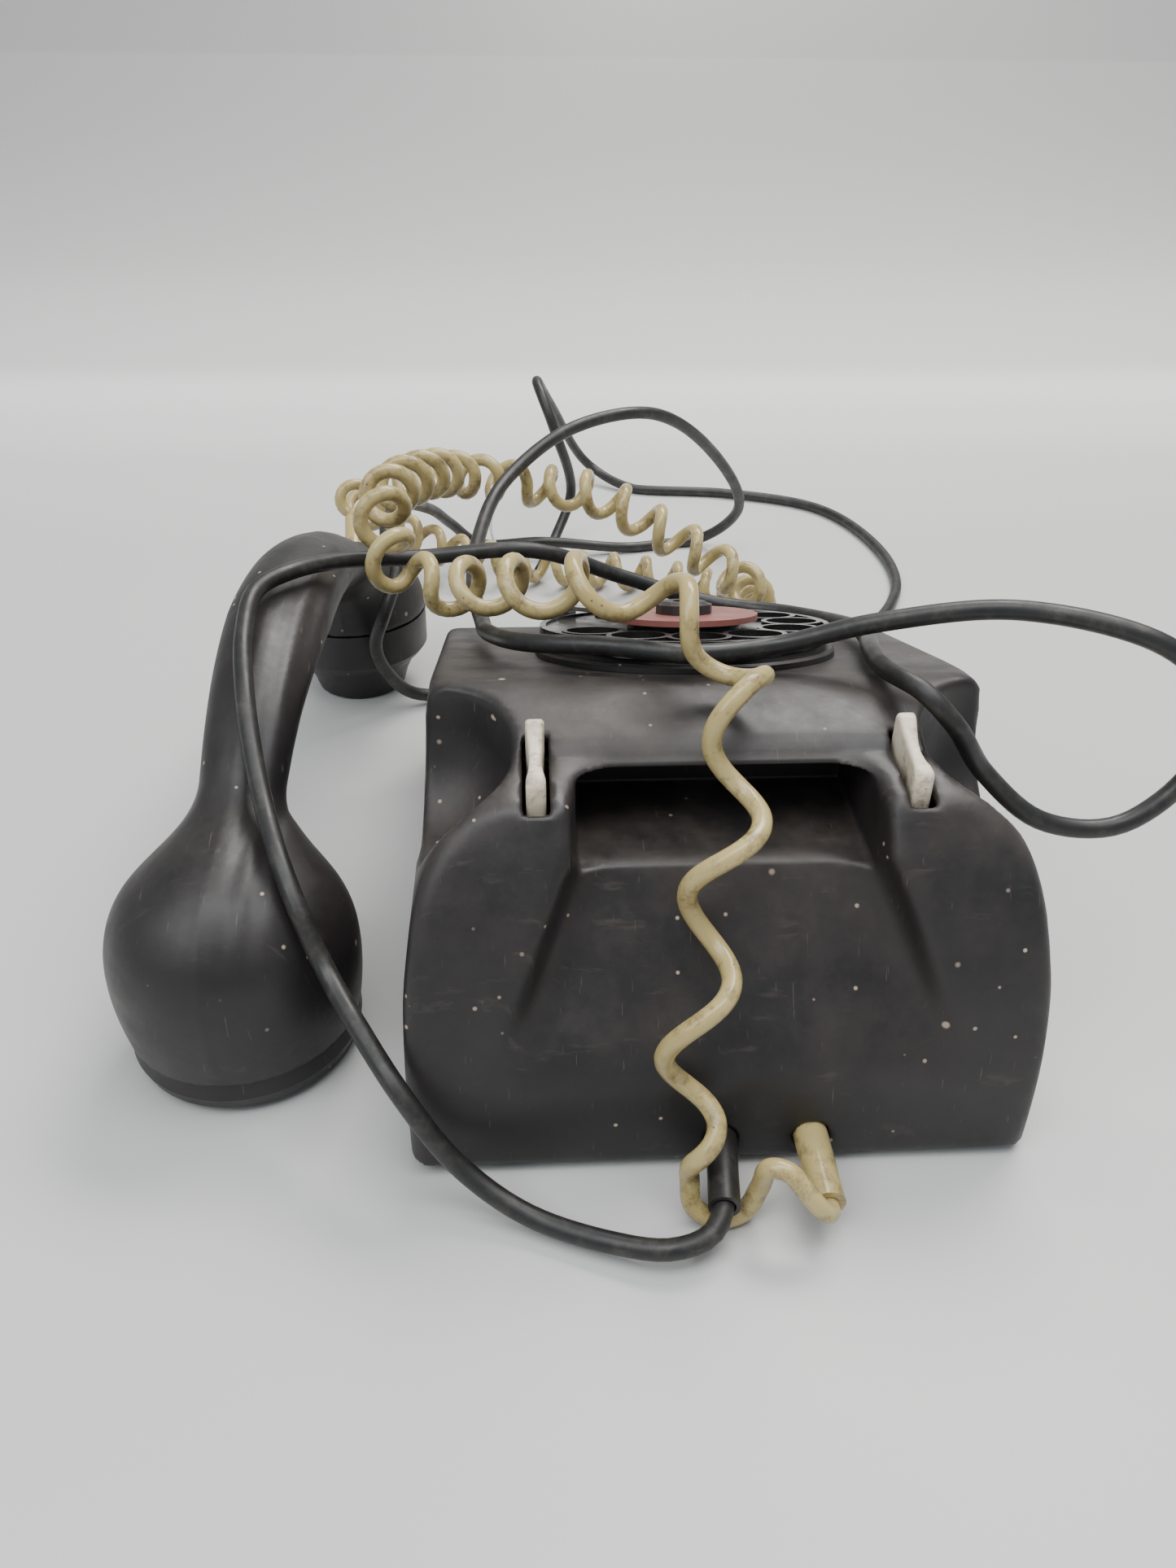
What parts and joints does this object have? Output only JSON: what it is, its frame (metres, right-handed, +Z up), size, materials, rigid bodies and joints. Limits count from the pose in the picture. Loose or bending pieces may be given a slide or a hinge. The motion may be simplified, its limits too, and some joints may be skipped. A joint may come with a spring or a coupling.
{
  "type": "rotary telephone",
  "caption": "Desk telephone with a finger-wheel dial, two cradle levers, a carrying pocket in its back, a handset lying beside it on a coiled cord, and a loose line cord.",
  "frame": {"origin": "centre of the body's footprint on the floor", "axes": "+Z up, -Y to the front where the dial slopes down, +X towards the handset"},
  "size_m": [0.2655, 0.4684, 0.1126],
  "materials": {
    "moulding": "satin, dusty",
    "base_paint": "semi-matte",
    "plate_black": "gloss",
    "gloss_black": "gloss",
    "red_disc": "worn satin",
    "chrome": "polished",
    "steel": "plain",
    "brass": "plain",
    "dark_plastic": "plain",
    "ivory": "yellowed, grimy",
    "copper_wire": null,
    "can": "dull",
    "board": "laminate",
    "rubber_black": "satin",
    "cord_beige": "yellowed gloss",
    "wire_ends": "insulated thin wires"
  },
  "bodies": {
    "body": {"body_shell": "moulding", "pocket_liner": "moulding", "base_plate": "base_paint", "base_screws": "steel", "dial_bezel": "moulding", "number_plate": "plate_black", "finger_stop": "chrome", "dial_frame": "steel", "main_spring": "steel", "pulse_contacts": "brass", "hook_brackets": "steel", "hook_spring": "steel", "hook_contacts": "brass", "gong_left": "brass", "gong_right": "brass", "gong_posts": "steel", "ringer_coils": "copper_wire", "ringer_frame": "steel", "induction_coil": "copper_wire", "capacitor": "can", "terminal_board": "board", "line_gland": "rubber_black", "coil_gland": "cord_beige", "line_cord": "rubber_black", "handset_cord": "cord_beige", "bare_wires": "wire_ends"},
    "dial_rotor": {"finger_wheel": "gloss_black", "centre_disc": "red_disc", "hub_nut": "moulding", "dial_shaft": "steel", "main_gear": "brass", "pulse_cam": "dark_plastic"},
    "idler": {"idler_gear": "brass"},
    "governor_rotor": {"governor": "brass"},
    "hook": {"cradle_lever_left": "ivory", "cradle_lever_right": "ivory", "hook_yoke": "steel"},
    "clapper_arm": {"clapper": "steel"},
    "handset": {"handset_shell": "moulding", "receiver_cap": "moulding", "receiver_capsule": "steel", "transmitter_cap": "moulding", "transmitter_capsule": "steel", "handset_gland": "cord_beige"}
  },
  "joints": [
    {"name": "dial_spin", "type": "hinge", "parent": "body", "child": "dial_rotor", "pos_m": [0, -0.0188, 0.0722], "axis": [0, 0.3338, -0.9426], "range_deg": [0, 330], "stiffness_Nm_per_rad": 0.004, "springref_deg": -57.3},
    {"name": "idler_spin", "type": "hinge", "parent": "body", "child": "idler", "pos_m": [0, -0.04406, 0.06325], "axis": [0, 0.3338, -0.9426], "range_deg": [-1820, 5]},
    {"name": "governor_spin", "type": "hinge", "parent": "body", "child": "governor_rotor", "pos_m": [0.0122, -0.04406, 0.06325], "axis": [0, 0.3338, -0.9426], "range_deg": [-5, 5450]},
    {"name": "hook_press", "type": "hinge", "parent": "body", "child": "hook", "pos_m": [0, 0.02, 0.064], "axis": [-1, 0, 0], "range_deg": [0, 5], "stiffness_Nm_per_rad": 2, "springref_deg": -17.19},
    {"name": "clapper_swing", "type": "hinge", "parent": "body", "child": "clapper_arm", "pos_m": [0, -0.039, 0.0204], "axis": [0, 0, 1], "range_deg": [-6, 6], "stiffness_Nm_per_rad": 0.0005},
    {"name": "handset_place", "type": "slide", "parent": "body", "child": "handset", "axis": [1, 0, 0], "range_m": [0, 0.1]}
  ],
  "couplings": [
    {"joint": "idler_spin", "follows": "dial_spin", "ratio": -5.5},
    {"joint": "governor_spin", "follows": "dial_spin", "ratio": 16.5}
  ]
}
